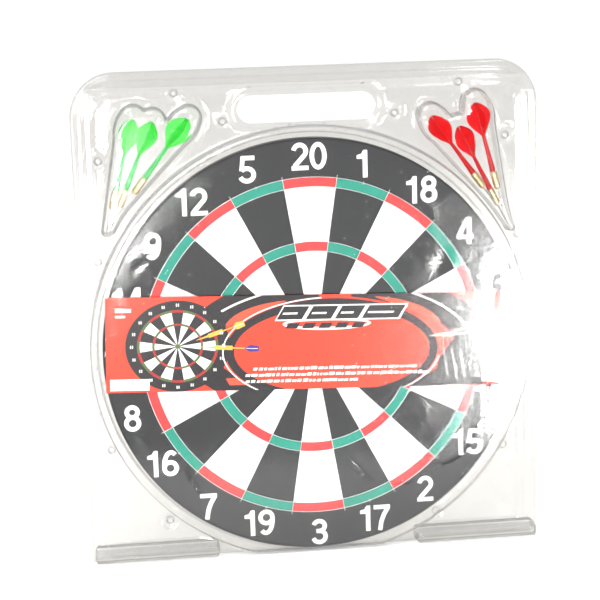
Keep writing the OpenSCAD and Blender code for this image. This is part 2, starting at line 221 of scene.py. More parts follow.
def moulded(name, colour, glow, clear):
    """Translucent coloured plastic, cloudy inside."""
    mat, tree, out = material(name)
    at = place(tree)
    cloud = noise_at(tree, at, 160)
    fine = noise_at(tree, at, 1800, detail=5)
    tint = ramp(tree, cloud, [(0.3, shade(colour, 0.82)), (0.7, shade(colour, 1.15))])
    normal = bumped(tree, fine, 0.2, 0.00008)
    body = add(tree, "ShaderNodeBsdfPrincipled", {
        "Base Color": tint, "Roughness": between(tree, fine, 0.22 * 0.8, 0.22 * 1.3),
        "Normal": normal, "Coat Weight": 0.25})
    lit = add(tree, "ShaderNodeBsdfTranslucent", {
        "Color": ramp(tree, cloud, [(0.3, shade(glow, 0.85)), (0.7, glow)])})
    inner = add(tree, "ShaderNodeMixShader", {0: 0.5, 1: body.outputs[0], 2: lit.outputs[0]})
    see = add(tree, "ShaderNodeBsdfTransparent", {"Color": (*glow, 1)})
    whole = add(tree, "ShaderNodeMixShader", {0: between(tree, cloud, clear * 0.7, clear * 1.3),
                                              1: inner.outputs[0], 2: see.outputs[0]})
    tree.links.new(whole.outputs[0], out.inputs["Surface"])
    return mat


def metal(name, colour, rough, stain):
    """Bright metal with drawn or turned marks and a little tarnish."""
    mat, tree, out = material(name)
    at = place(tree)
    marks = noise_at(tree, at, 2500, detail=5)
    spots = noise_at(tree, place(tree), 300)
    tint = ramp(tree, spots, [(0.35, shade(colour, 1 - stain)), (0.6, colour)])
    shader = add(tree, "ShaderNodeBsdfPrincipled", {
        "Base Color": tint, "Metallic": 1.0,
        "Roughness": between(tree, marks, rough * 0.7, rough * 1.4),
        "Normal": bumped(tree, marks, 0.3, 0.00006)})
    tree.links.new(shader.outputs[0], out.inputs["Surface"])
    return mat


def wound_paper(name):
    """A paper strip wound round and round: fine rings, with a fibrous grain."""
    mat, tree, out = material(name)
    at = place(tree, centre=(0, 0, BOARD_Z * MM))
    rings = add(tree, "ShaderNodeTexWave", {"Vector": at, "Scale": 190, "Distortion": 0.6,
                                            "Detail": 2, "Detail Scale": 1.5},
                wave_type="RINGS", rings_direction="Y").outputs["Fac"]
    fibre = noise_at(tree, at, 700, detail=6)
    kraft = srgb(176, 146, 106)
    tint = ramp(tree, rings, [(0.05, shade(kraft, 0.42)), (0.35, shade(kraft, 0.9)),
                              (1.0, shade(kraft, 1.12))])
    blotch = ramp(tree, noise_at(tree, at, 22), [(0.3, (0.78, 0.76, 0.74)), (0.7, (1, 1, 1))])
    colour = add(tree, "ShaderNodeMix", {0: 1.0, 6: tint, 7: blotch}, data_type="RGBA",
                 blend_type="MULTIPLY").outputs[2]
    height = add(tree, "ShaderNodeMath", {0: rings, 1: fibre}, operation="ADD").outputs[0]
    shader = add(tree, "ShaderNodeBsdfPrincipled", {
        "Base Color": colour, "Roughness": between(tree, fibre, 0.75, 0.95),
        "Normal": bumped(tree, height, 0.5, 0.0004)})
    tree.links.new(shader.outputs[0], out.inputs["Surface"])
    return mat


# ---------- meshes ----------

def new_piece(name, verts, faces, mat, body, smooth=True):
    """A mesh object in metres that rides on a body."""
    mesh = bpy.data.meshes.new(name)
    mesh.from_pydata([Vector(v) * MM for v in verts], [], faces)
    mesh.materials.append(mat)
    mesh.polygons.foreach_set("use_smooth", [smooth] * len(mesh.polygons))
    mesh.update()
    piece = bpy.data.objects.new(name, mesh)
    bpy.context.scene.collection.objects.link(piece)
    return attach(piece, body)


# ---------- signed distances in the plane of the pack, negative inside ----------

def s_curve(t):
    t = np.clip(t, 0, 1)
    return t * t * (3 - 2 * t)


def sd_outline(x, z):
    """The pack's outline, as if its sides ran on below the bottom edge."""
    qx = np.abs(x) - (HALF_W - CORNER_R)
    qz = z - (TOP - CORNER_R)
    outside = np.hypot(np.maximum(qx, 0), np.maximum(qz, 0))
    return outside + np.minimum(np.maximum(qx, qz), 0) - CORNER_R


def sd_disc(x, z, r, floor_z):
    """A disc about the board's centre, cut flat above the pack's bottom edge."""
    return np.maximum(np.hypot(x, z - BOARD_Z) - r, 1.25 * (floor_z - z))


def sd_slot(x, z):
    return np.hypot(np.maximum(np.abs(x) - SLOT_HALF, 0), z - SLOT_Z) - SLOT_R


def sd_feet(x, z):
    middle = (FOOT_IN + feet_high.x) / 2
    round_r = 2.5
    qx = np.abs(np.abs(x) - middle) - (feet_high.x - FOOT_IN) / 2 + round_r
    qz = np.abs(z - (feet_high.z + 0.4) / 2) - (feet_high.z - 0.4) / 2 + round_r
    outside = np.hypot(np.maximum(qx, 0), np.maximum(qz, 0))
    return outside + np.minimum(np.maximum(qx, qz), 0) - round_r


def sd_snaps(x, z):
    return np.minimum.reduce([np.hypot(x - sx, z - sz) for sx, sz in SNAPS])


def capsule(x, z, a, ra, b, rb):
    """A capsule from a to b whose radius goes from ra to rb."""
    d = (b[0] - a[0], b[1] - a[1])
    t = np.clip(((x - a[0]) * d[0] + (z - a[1]) * d[1]) / (d[0] ** 2 + d[1] ** 2), 0, 1)
    return np.hypot(x - a[0] - t * d[0], z - a[1] - t * d[1]) - ra - t * (rb - ra)


def sd_pocket(x, z, darts):
    """The bubble round three darts: a lobe round each flight, drawn in to each point."""
    parts = []
    for dart in darts:
        tail, way = dart_axis(dart)

        def along(s):
            return (tail.x - way.x * s, tail.z - way.z * s)
        parts.append(capsule(x, z, along(6), 16, along(DART_L - 2), 4.9))
        parts.append(capsule(x, z, along(-2), 13.5, along(12), 16))
    soft = 1.2           # how much the notches between lobes are rounded
    return -soft * np.log(np.sum([np.exp(-np.maximum(p, -40) / soft) for p in parts], axis=0))


# ---------- contour lines, so that the sheet's creases run true ----------

def trace(field, low, high, cell, level):
    """Lines along which field equals level, walked cell by cell over a grid."""
    xs = np.arange(low[0], high[0] + cell, cell)
    zs = np.arange(low[1], high[1] + cell, cell)
    grid_x, grid_z = np.meshgrid(xs, zs, indexing="ij")
    value = field(grid_x, grid_z) - level
    inside = value < 0
    cells = inside[:-1, :-1].astype(int) + inside[1:, :-1] + inside[:-1, 1:] + inside[1:, 1:]
    spots, links = {}, {}

    def crossing(i, j, k, l):
        key = (i, j, k, l)
        if key not in spots:
            t = value[i, j] / (value[i, j] - value[k, l])
            spots[key] = (xs[i] + t * (xs[k] - xs[i]), zs[j] + t * (zs[l] - zs[j]))
        return key

    for i, j in np.argwhere((cells > 0) & (cells < 4)):
        sides = [(i, j, i + 1, j), (i + 1, j, i + 1, j + 1), (i, j + 1, i + 1, j + 1),
                 (i, j, i, j + 1)]
        cut = [crossing(*s) for s in sides if inside[s[0], s[1]] != inside[s[2], s[3]]]
        for a, b in zip(cut[0::2], cut[1::2]):
            links.setdefault(a, []).append(b)
            links.setdefault(b, []).append(a)
    lines, seen = [], set()
    for start in sorted(links, key=lambda k: len(links[k])):
        if start in seen:
            continue
        line, here = [], start
        while here is not None:
            seen.add(here)
            line.append(spots[here])
            here = next((n for n in links[here] if n not in seen), None)
        lines.append((line, len(links[start]) == 2))
    return lines


def even(line, closed, gap):
    """The same line with points gap apart."""
    points = np.array(line + line[:1] if closed else line)
    step = np.hypot(*np.diff(points, axis=0).T)
    run = np.concatenate([[0], np.cumsum(step)])
    count = max(3, int(run[-1] / gap))
    at = np.linspace(0, run[-1], count + 1)[:-1 if closed else None]
    return np.c_[np.interp(at, run, points[:, 0]), np.interp(at, run, points[:, 1])]


def settle(points, field, level):
    """Moves points square on to the exact level line."""
    h = 0.05
    for _ in range(2):
        x, z = points.T
        gx = (field(x + h, z) - field(x - h, z)) / (2 * h)
        gz = (field(x, z + h) - field(x, z - h)) / (2 * h)
        size = np.maximum(gx ** 2 + gz ** 2, 0.2)
        off = np.clip((field(x, z) - level) / size, -0.5, 0.5)
        points = points - np.c_[off * gx, off * gz]
    return points


class Sheet:
    """Points and crease lines of one formed half, and the mesh they make."""

    def __init__(self):
        self.points = []
        self.edges = []

    def line(self, points, closed):
        first, n = len(self.points), len(points)
        self.points += [(float(x), max(0.0, float(z))) for x, z in points]
        self.edges += [(first + i, first + (i + 1) % n) for i in range(n - (not closed))]

    def contours(self, field, low, high, cell, levels, gap):
        for level in levels:
            for line, closed in trace(field, low, high, cell, level):
                if len(line) > 3:
                    self.line(settle(even(line, closed, gap), field, level), closed)

    def outline(self):
        """The cut edge: square bottom corners, round top corners."""
        a = np.linspace(0, math.pi / 2, 22)
        cx, cz = HALF_W - CORNER_R, TOP - CORNER_R
        right = [(HALF_W, z) for z in np.arange(0, cz, 4)]
        right += [(cx + CORNER_R * math.cos(t), cz + CORNER_R * math.sin(t)) for t in a]
        top = [(x, TOP) for x in np.arange(cx - 4, 0, -4)]
        half = right + top
        whole = half + [(0, TOP)] + [(-x, z) for x, z in reversed(half)]
        bottom = [(x, 0) for x in np.arange(-HALF_W + 4, HALF_W - 1, 4)]
        self.line(whole + bottom, True)

    def fill(self, low, high, gap, field=None):
        """Points on a staggered grid, clear of those already there."""
        tree = kdtree.KDTree(len(self.points))
        for i, (x, z) in enumerate(self.points):
            tree.insert((x, z, 0), i)
        tree.balance()
        rows = int((high[1] - low[1]) / (gap * 0.87))
        for j in range(1, rows):
            z = low[1] + j * gap * 0.87
            for i in range(int((high[0] - low[0]) / gap)):
                x = low[0] + (i + 0.5 * (j % 2)) * gap
                if field is not None and field(x, z) > 0:
                    continue
                if tree.find((x, z, 0))[2] > gap * 0.62:
                    self.points.append((x, z))

    def mesh(self, name, side, height, body, mat):
        """Triangles between the lines; y comes from height, on the side -1 front or +1."""
        verts, _, faces, *_ = delaunay_2d_cdt(
            [Vector(p) for p in self.points], self.edges, [], 0, 1e-4)
        xz = np.array([tuple(v) for v in verts])
        tri = np.array(faces)
        mid = xz[tri].mean(axis=1)
        keep = (sd_outline(*mid.T) < 0) & (mid[:, 1] > 0) & (sd_slot(*mid.T) > 0)
        y = side * (SHEET_Y + height(xz[:, 0], xz[:, 1]))
        tri = tri[keep]
        tri = tri if side < 0 else tri[:, ::-1]
        used, tri = np.unique(tri, return_inverse=True)
        tri = tri.reshape(-1, 3)
        points = np.c_[xz[used, 0], y[used], xz[used, 1]]
        piece = new_piece(name, points.tolist(), tri.tolist(), mat, body)
        thick = piece.modifiers.new("sheet", "SOLIDIFY")
        thick.thickness = SHEET_T * MM
        thick.offset = 0
        return piece


# ---------- the form of each half ----------

RIDGE = (3.2, 6.4, 11.4, 14.8)       # where the border's broad ridge starts, crests and ends
RIDGE_TOP = 8.9
STEP = (17.4, 18.4, 19.4)            # fine crease inside it
LIP = (0.9, 2.6, 6.9, 8.6)           # raised frame round the handle slot
LIP_TOP = 4.7


def hump(s, marks, high):
    """Rises between the first two marks and falls between the last two."""
    rise = s_curve((s - marks[0]) / (marks[1] - marks[0]))
    fall = s_curve((s - marks[2]) / (marks[3] - marks[2]))
    return high * (rise - fall)


def border(x, z):
    """Ridge and crease along the sides and top, fading out just above the feet."""
    s = -sd_outline(x, z)
    fade = s_curve((z - feet_high.z + 1) / 7)
    crease = hump(s, (STEP[0], STEP[1], STEP[1], STEP[2]), 0.8)
    return (hump(s, RIDGE, 2.1) + crease) * fade


def lip(x, z):
    return hump(sd_slot(x, z), LIP, 1.8)


def smooth_noise(x, z, wave, seed):
    """Gentle swells of about the given wavelength, from -1 to 1."""
    rng = random.Random(seed)
    total = np.zeros_like(x, dtype=float)
    for _ in range(7):
        turn = rng.uniform(0, math.pi)
        k = 2 * math.pi / (wave * rng.uniform(0.7, 1.5))
        phase = rng.uniform(0, 2 * math.pi)
        bend = 0.5 * np.sin(0.6 * k * (z * math.cos(turn) - x * math.sin(turn)) + phase)
        total += np.sin(k * (x * math.cos(turn) + z * math.sin(turn)) + phase + bend)
    return total / 7


# Buckles in the window: clock angle, radius, half length, half width, height, turn from
# tangential, all where the sheet was knocked; degrees and millimetres
BUCKLES = [
    (-55, 186, 17, 6, 0.9, 62), (-62, 200, 14, 4, -0.5, 20), (128, 199, 40, 3.2, 0.8, 8),
    (133, 206, 34, 3.0, -0.5, -4), (-137, 193, 26, 4.2, 0.9, 24), (-143, 203, 14, 3, -0.6, -30),
    (-152, 190, 20, 3.5, 0.6, 40), (-112, 200, 26, 5, 0.5, 10), (160, 140, 26, 5, -0.7, 70),
    (-162, 150, 22, 6, -0.7, 75), (118, 150, 24, 5, -0.6, 80), (58, 158, 20, 7, -0.6, 60),
    (72, 197, 30, 6, -0.5, 10), (178, 195, 34, 5, -0.5, 12), (-6, 186, 12, 2.6, 0.5, 60),
    (9, 195, 12, 2.6, 0.4, 45), (40, 190, 26, 7, 0.4, 30), (-28, 197, 24, 5, 0.35, 10),
    (150, 178, 20, 4, 0.5, 30), (-172, 205, 30, 3, 0.5, 5), (104, 190, 22, 4, 0.5, 80),
]


def buckle_at(buckle):
    """Centre of a buckle and the unit vector along it."""
    clock, r, _, _, _, off = buckle
    a = math.radians(clock)
    run = math.radians(clock + 90 + off)
    return (r * math.sin(a), BOARD_Z + r * math.cos(a)), (math.sin(run), math.cos(run))


def window_swell(x, z):
    """How far the loose window stands out from its flat place, never inward."""
    swell = 0.34 + 0.30 * smooth_noise(x, z, 120, 5) + 0.10 * smooth_noise(x, z, 46, 9)
    for buckle in BUCKLES:
        (cx, cz), (ux, uz) = buckle_at(buckle)
        _, _, length, width, high, _ = buckle
        along = (x - cx) * ux + (z - cz) * uz
        across = -(x - cx) * uz + (z - cz) * ux
        across = across + 0.012 * along ** 2 / max(1, width / 3)
        swell = swell + high * np.exp(-(along / length) ** 2 * 2 - (across / width) ** 2)
    r = np.hypot(x, z - BOARD_Z)
    fade = s_curve((dome_high.x - 8 - r) / 24) * s_curve((z - 6) / 20)
    return fade * np.log1p(np.exp(4 * np.clip(swell, -2, 2))) / 4


POCKET_W = 2.7       # width of a pocket's wall as it turns up out of the flange
WALL_W = 3.4         # the same for the dome
PAN_W = 2.9          # and for the pan
PAN_RIB = (147, 150.5, 155.5, 159)   # radii where the pan's round rib starts, crests and ends
FOOT_W = 2.0


def rise(distance, width, high):
    return high * s_curve(-distance / width)


def front_height(x, z):
    """Height of the front sheet in front of the flange."""
    deep = -feet_low.y - 0.35 - SHEET_Y
    window = -window_low.y - 0.22 - SHEET_Y
    flat = np.maximum(border(x, z), lip(x, z)) + 0.10 * (1 + smooth_noise(x, z, 90, 2))
    dome = rise(sd_disc(x, z, dome_high.x, BOTTOM_Z), WALL_W, window)
    dome = dome + window_swell(x, z) * (dome > window * 0.98)
    left = rise(sd_pocket(x, z, DARTS[:3]) - 0.5, POCKET_W, deep - 0.2)
    right = rise(sd_pocket(x, z, DARTS[3:]) - 0.5, POCKET_W, deep - 0.2)
    feet = rise(sd_feet(x, z), FOOT_W, deep)
    stud = rise(sd_snaps(x, z) - STUD_R, SNAP_EDGE, 3.0)
    return np.maximum.reduce([flat, dome, left, right, feet]) - stud


def rear_height(x, z):
    """Height of the rear sheet behind the flange."""
    deep = rear_feet_high.y - 0.35 - SHEET_Y
    floor_y = pan_high.y - 0.3 - SHEET_Y
    r = np.hypot(x, z - BOARD_Z)
    flat = np.maximum(border(x, z), lip(x, z)) + 0.10 * (1 + smooth_noise(x, z, 80, 3))
    pan = rise(sd_disc(x, z, pan_wall_high.x, BOTTOM_Z), PAN_W, floor_y)
    pan = pan - hump(r, PAN_RIB, 3.6)
    pan = pan - 0.06 * (1 + smooth_noise(x, z, 60, 7)) * (r < 140)
    left = rise(sd_pocket(x, z, DARTS[:3]) - 0.5, POCKET_W, deep - 0.2)
    right = rise(sd_pocket(x, z, DARTS[3:]) - 0.5, POCKET_W, deep - 0.2)
    feet = rise(sd_feet(x, z), FOOT_W, deep)
    socket = rise(sd_snaps(x, z) - SOCKET_R, SNAP_EDGE, 3.4)
    return np.maximum.reduce([flat, pan, left, right, feet, flat + socket])


def common_lines(sheet):
    """Cut edge, border, slot, pockets and feet, which both halves share."""
    sheet.outline()
    whole = ((-HALF_W, 0), (HALF_W, TOP))
    sheet.contours(sd_outline, *whole, 4, [-s for s in (*RIDGE, RIDGE_TOP, *STEP)], 4)
    slot_box = ((-82, SLOT_Z - 26), (82, SLOT_Z + 26))
    sheet.contours(sd_slot, *slot_box, 1.5, (0, *LIP, LIP_TOP), 1.8)
    for darts, side in ((DARTS[:3], -1), (DARTS[3:], 1)):
        def pocket(x, z, darts=darts):
            return sd_pocket(x, z, darts)
        xs = sorted((side * 90, side * 222))
        levels = [0.5 - POCKET_W * t for t in (0, 0.14, 0.32, 0.5, 0.68, 0.86, 1)]
        sheet.contours(pocket, (xs[0], 320), (xs[1], 490), 2, levels, 2)
        feet_xs = sorted((side * (FOOT_IN - 2), side * (feet_high.x + 2)))
        levels = [-FOOT_W * t for t in (0, 0.25, 0.5, 0.75, 1)]
        sheet.contours(sd_feet, (feet_xs[0], 0), (feet_xs[1], 18), 1.2, levels, 2)


def disc_lines(sheet, r, width, floor_z):
    def disc(x, z):
        return sd_disc(x, z, r, floor_z)
    levels = [-width * t for t in (0, 0.14, 0.32, 0.5, 0.68, 0.86, 1)]
    sheet.contours(disc, (-HALF_W, 0), (HALF_W, TOP), 3, levels, 3.2)


def snap_lines(sheet, r, width):
    for x, z in SNAPS:
        for t in (0, 0.33, 0.66, 1):
            ring = r - width * t
            a = np.linspace(0, 2 * math.pi, 19)[:-1]
            sheet.line(np.c_[x + ring * np.cos(a), z + ring * np.sin(a)], True)


def front_shell(mat):
    sheet = Sheet()
    common_lines(sheet)
    disc_lines(sheet, dome_high.x, WALL_W, BOTTOM_Z)
    snap_lines(sheet, STUD_R, SNAP_EDGE)
    for buckle in BUCKLES:
        (cx, cz), _ = buckle_at(buckle)
        reach = buckle[2] + 4

        def near(x, z, buckle=buckle):
            (bx, bz), (ux, uz) = buckle_at(buckle)
            if math.hypot(x, z - BOARD_Z) > dome_high.x - 6:
                return 1
            along = abs((x - bx) * ux + (z - bz) * uz)
            across = abs(-(x - bx) * uz + (z - bz) * ux)
            return max(along - buckle[2] - 2, across - 2.4 * buckle[3] - 3)
        sheet.fill((cx - reach, cz - reach), (cx + reach, cz + reach), 1.9, near)
    sheet.fill((-HALF_W, 0), (HALF_W, TOP), 6.5)
    piece = sheet.mesh("front_clear_shell", -1, front_height, "front_shell", mat)
    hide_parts("front_flange", "front_dome_wall", "front_window", "front_pocket_left",
                "front_pocket_right", "front_feet", "snap_studs")
    return piece


def rear_shell(mat):
    sheet = Sheet()
    common_lines(sheet)
    disc_lines(sheet, pan_wall_high.x, PAN_W, BOTTOM_Z)
    snap_lines(sheet, SOCKET_R, SNAP_EDGE)

    def from_centre(x, z):
        return np.hypot(x, z - BOARD_Z)
    sheet.contours(from_centre, (-170, 50), (170, 390), 3,
                   (147, 148.7, 150.5, 155.5, 157.3, 159), 3.2)
    sheet.fill((-HALF_W, 0), (HALF_W, TOP), 8)
    piece = sheet.mesh("rear_clear_shell", 1, rear_height, "rear_shell", mat)
    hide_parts("rear_flange", "rear_pan_wall", "rear_pan", "pan_rib",
                "rear_pocket_left", "rear_pocket_right", "rear_feet", "snap_sockets")
    return piece


# ---------- board ----------

def edge_band(mat):
    """Rolled vinyl band round the core, with a soft shoulder and a shallow overlap."""
    front, back = -11.4, core_high.y + 0.2
    profile = [(214.42, -10.1), (214.42, -10.8), (214.55, front + 0.12), (214.85, front),
               (215.2, front + 0.05), (215.6, front + 0.4), (215.9, front + 1.2),
               (BOARD_R, front + 2.4)]
    profile += [(BOARD_R, y) for y in np.linspace(-7.5, 1.5, 6)]
    profile += [(215.9, back - 1.6), (215.6, back - 0.6), (214.6, back - 0.1)]
    turns = 288
    verts, faces = [], []
    for i in range(turns):
        a = 2 * math.pi * i / turns
        slack = 0.06 * math.sin(9 * a + 1) * math.sin(4 * a)
        seam = 0.25 * math.exp(-((a - 3.3) / 0.02) ** 2)
        for k, (r, y) in enumerate(profile):
            soft = math.sin(math.pi * k / (len(profile) - 1))
            rr = r - (slack * slack * 4 + seam) * soft
            verts.append((rr * math.sin(a), y, BOARD_Z + rr * math.cos(a)))
    n = len(profile)
    for i in range(turns):
        j = (i + 1) % turns
        faces += [(i * n + k, j * n + k, j * n + k + 1, i * n + k + 1) for k in range(n - 1)]
    piece = new_piece("edge_band_rolled", verts, faces, mat, "board")
    skin = piece.modifiers.new("skin", "SOLIDIFY")
    skin.thickness = 0.3 * MM
    skin.offset = 1
    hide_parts("edge_band")
    return piece


# ---------- darts ----------

FLIGHT_L = 35
HUB_R = 1.7
FLIGHT_R = 14
ROLL = {"1": 45, "2": 36, "3": 15}       # turn of the vanes, degrees


def vane_width(t):
    return HUB_R + (FLIGHT_R - HUB_R) * max(0, math.sin(math.pi * t ** 1.4)) ** 0.8


def vane(turn, curl):
    """One petal-shaped vane with raised veins; t runs from the stem to the tail."""
    long_n, wide_n = 40, 18
    rows = [[], []]
    for i in range(long_n + 1):
        t = i / long_n
        wide = vane_width(t)
        for j in range(wide_n + 1):
            u = j / wide_n
            out = HUB_R * 0.4 + u * (wide - HUB_R * 0.4)
            veins = 0.24 * (0.5 + 0.5 * math.cos(2 * math.pi * 5 * u)) ** 3 * math.sin(math.pi * t)
            half = (0.17 + 0.16 * (1 - u) + veins) * (1 - u ** 8) + 0.05
            bend = curl * u * u * math.sin(math.pi * t) * 1.3
            notch = 1.3 * math.cos(2 * math.pi * 3 * u) * max(0, t - 0.86) / 0.14
            along = -FLIGHT_L + FLIGHT_L * t * (1 - 0.02) + notch - 0.2
            for side, row in ((1, rows[0]), (-1, rows[1])):
                across = bend + side * half
                c, s = math.cos(turn), math.sin(turn)
                row.append((out * c - across * s, out * s + across * c, along))
    n = wide_n + 1
    off = len(rows[0])
    verts = rows[0] + rows[1]
    faces = []
    for i in range(long_n):
        for j in range(wide_n):
            a = i * n + j
            faces.append((a, a + n, a + n + 1, a + 1))
            faces.append((a + off, a + 1 + off, a + n + 1 + off, a + n + off))
        a = i * n + wide_n
        faces.append((a, a + n, a + n + off, a + off))
        a = i * n
        faces.append((a, a + off, a + n + off, a + n))
    for i, flip in ((0, False), (long_n, True)):
        for j in range(wide_n):
            a = i * n + j
            quad = (a, a + 1, a + 1 + off, a + off)
            faces.append(quad[::-1] if flip else quad)
    return verts, faces


def hub():
    """The tube that the four vanes grow from, with a rounded tail."""
    verts, faces, sides = [], [], 20
    rings = [(-FLIGHT_L + 0.1, 1.75), (-FLIGHT_L + 1.2, 1.95), (-FLIGHT_L + 2.6, 1.7),
             (-18, 1.45), (-7, 1.1), (-4.6, 0.7), (-4.0, 0.05)]
    for z, r in rings:
        for k in range(sides):
            a = 2 * math.pi * k / sides
            verts.append((r * math.cos(a), r * math.sin(a), z))
    for i in range(len(rings) - 1):
        for k in range(sides):
            a, b = i * sides + k, i * sides + (k + 1) % sides
            faces.append((a, b, b + sides, a + sides))
    faces.append(tuple(range(sides))[::-1])
    faces.append(tuple((len(rings) - 1) * sides + k for k in range(sides)))
    return verts, faces


def flight(dart, mat):
    tail, way = dart_axis(dart)
    side = Vector((0, 1, 0))
    basis = Matrix((side.cross(way), side, way)).transposed()
    rng = random.Random(DARTS.index(dart))
    verts, faces = hub()
    for k in range(4):
        more, sides = vane(math.radians(ROLL[dart[-1]] + 90 * k), rng.uniform(-0.8, 0.8))
        faces += [tuple(i + len(verts) for i in f) for f in sides]
        verts += more
    placed = [tail + basis @ Vector(v) for v in verts]
    piece = new_piece(dart + "_petal_flight", placed, faces, mat, dart)
    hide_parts(dart + "_flight")


# ---------- printed card ----------

CARD_W, CARD_H = 432, 99
CARD_AT = Vector((3, 226.5))
CARD_TILT = math.radians(2)
CARD_Y = card_low.y


def on_card(u, v):
    """A point on the card, from its middle, in the plane of the pack."""
    c, s = math.cos(CARD_TILT), math.sin(CARD_TILT)
    return CARD_AT.x + u * c + v * s, CARD_AT.y - u * s + v * c


def clip(shape):
    """Cuts a shape at the card's edges."""
    for axis, bound in ((0, CARD_W / 2), (1, CARD_H / 2)):
        for sign in (-1, 1):
            cut = []
            for i, p in enumerate(shape):
                q = shape[i - 1]
                dp, dq = bound - sign * p[axis], bound - sign * q[axis]
                if (dp > 0) != (dq > 0):
                    t = dq / (dq - dp)
                    cut.append((q[0] + t * (p[0] - q[0]), q[1] + t * (p[1] - q[1])))
                if dp > 0:
                    cut.append(p)
            shape = cut
            if not shape:
                return []
    return shape


FILM = 0.001         # each band or disc of ink lies this far over the one before


class Print:
    """One ink on the card: flat shapes at one small height in front of it."""

    def __init__(self, layer):
        self.y = CARD_Y - 0.022 * layer
        self.verts, self.faces = [], []

    def shape(self, points):
        points = clip(list(points))
        if len(points) < 3:
            return
        area = sum(points[i - 1][0] * p[1] - p[0] * points[i - 1][1]
                   for i, p in enumerate(points))
        points = points if area > 0 else points[::-1]
        first = len(self.verts)
        for u, v in points:
            x, z = on_card(u, v)
            self.verts.append((x, self.y, z))
        self.faces.append(tuple(range(first, len(self.verts))))

    def band(self, centre, radii, a0, a1, width0, width1, taper=False, n=44):
        """A strip along part of an ellipse; widths are at its start and end."""
        self.y -= FILM
        for i in range(n):
            quad = []
            for k, sign in ((i, -1), (i + 1, -1), (i + 1, 1), (i, 1)):
                t = k / n
                a = math.radians(a0 + (a1 - a0) * t)
                w = width0 + (width1 - width0) * t
                w *= math.sin(math.pi * min(1, max(0, t))) ** 0.6 if taper else 1
                quad.append((centre[0] + (radii[0] + sign * w / 2) * math.cos(a),
                             centre[1] + (radii[1] + sign * w / 2) * math.sin(a)))
            self.shape(quad)

    def disc(self, centre, radii, n=64):
        self.y -= FILM
        for i in range(n):
            a, b = 2 * math.pi * i / n, 2 * math.pi * (i + 1) / n
            self.shape([centre,
                        (centre[0] + radii[0] * math.cos(a), centre[1] + radii[1] * math.sin(a)),
                        (centre[0] + radii[0] * math.cos(b), centre[1] + radii[1] * math.sin(b))])

    def bar(self, u0, v0, u1, v1, slant=0):
        self.shape([(u0, v0), (u1, v0), (u1 + slant, v1), (u0 + slant, v1)])

    def stroke(self, a, b, wide, wide_end=None):
        du, dv = b[0] - a[0], b[1] - a[1]
        n = math.hypot(du, dv)
        du, dv = du / n / 2, dv / n / 2
        end = wide if wide_end is None else wide_end
        self.shape([(a[0] - dv * wide, a[1] + du * wide), (a[0] + dv * wide, a[1] - du * wide),
                    (b[0] + dv * end, b[1] - du * end), (b[0] - dv * end, b[1] + du * end)])

    def piece(self, name, mat, slot="card"):
        made = new_piece("card_" + name, self.verts, self.faces, mat, "front_shell", smooth=False)
        return made


def small_board(inks, centre, radii):
    """The little picture of a board: rings and wedges, with dots for its numbers."""
    inks["black"].disc(centre, (radii[0] * 1.27, radii[1] * 1.24))
    rings = ((0.06, 0.56), (0.62, 0.92))
    for k in range(20):
        a0, a1 = math.radians(k * 18 - 9), math.radians(k * 18 + 9)

        def at(r, a):
            return (centre[0] + radii[0] * r * math.sin(a), centre[1] + radii[1] * r * math.cos(a))

        def wedge(ink, r0, r1, a0=a0, a1=a1):
            m = (a0 + a1) / 2
            inks[ink].shape([at(r0, a0), at(r0, m), at(r0, a1), at(r1, a1), at(r1, m), at(r1, a0)])
        if k % 2:
            for r0, r1 in rings:
                wedge("white", r0, r1)
        for r0, r1 in ((0.56, 0.62), (0.92, 0.99)):
            wedge("dull_red" if k % 2 == 0 else "olive", r0, r1)
        m = (a0 + a1) / 2
        spot = at(1.115, m)
        inks["white_top"].bar(spot[0] - 1.5, spot[1] - 1.5, spot[0] - 0.4, spot[1] + 1.6)
        inks["white_top"].bar(spot[0] + 0.4, spot[1] - 1.5, spot[0] + 1.5, spot[1] + 1.6)
    inks["olive"].disc(centre, (2.8, 2.5), 16)


def little_dart(inks, tip, tail, body, wing):
    du, dv = (tail[0] - tip[0]), (tail[1] - tip[1])

    def at(t):
        return (tip[0] + du * t, tip[1] + dv * t)
    inks[body].stroke(at(0), at(0.25), 0.4, 2.2)
    inks[body].stroke(at(0.25), at(0.55), 4.2, 4.6)
    inks[body].stroke(at(0.55), at(0.8), 1.4, 1.0)
    inks[wing].stroke(at(0.76), at(0.84), 1.5, 7.5)
    inks[wing].stroke(at(0.84), at(1.0), 7.5, 6.0)
    inks["white_top"].stroke(at(0.78), at(0.98), 0.6, 0.5)


def swooshes(inks):
    """Flame-like black strokes with white edges round the red ellipse."""
    centre, radii = (16, -9), (103, 47)
    ring = Print(2.0)
    ring.band(centre, (radii[0] + 3, radii[1] + 3), 0, 360, 9, 9, n=120)
    inks["white"].band(centre, (radii[0] + 10, radii[1] + 8.5), 96, 352, 1.4, 1.4, n=90)
    inks["black"].band((16, -14), (146, 74), 96, 178, 26, 34)
    inks["black"].band((20, -14), (150, 72), 2, 84, 44, 22)
    inks["white"].band((18, -14), (152, 74), 100, 140, 1.6, 2.4)
    inks["white"].band((18, -14), (148, 76), 8, 76, 1.6, 2.0)
    inks["black"].band((16, 2), (142, 70), 184, 250, 34, 18)
    inks["black"].band((16, 2), (150, 66), 300, 356, 14, 40)
    inks["orange"].band((16, -12), (127, 60), 112, 150, 4, 12, taper=True)
    inks["orange"].band((16, -12), (127, 62), 28, 70, 12, 5, taper=True)
    inks["orange"].shape([(-96, -26), (-88, -17), (-80, -26)])
    inks["orange"].shape([(-94, -37), (-66, -35), (-52, -44), (-90, -44)])
    inks["orange"].shape([(84, 20), (114, 22), (122, 19), (116, 16), (88, 17)])
    inks["orange"].shape([(104, 10), (136, 9), (144, 0), (118, -6)])
    return ring


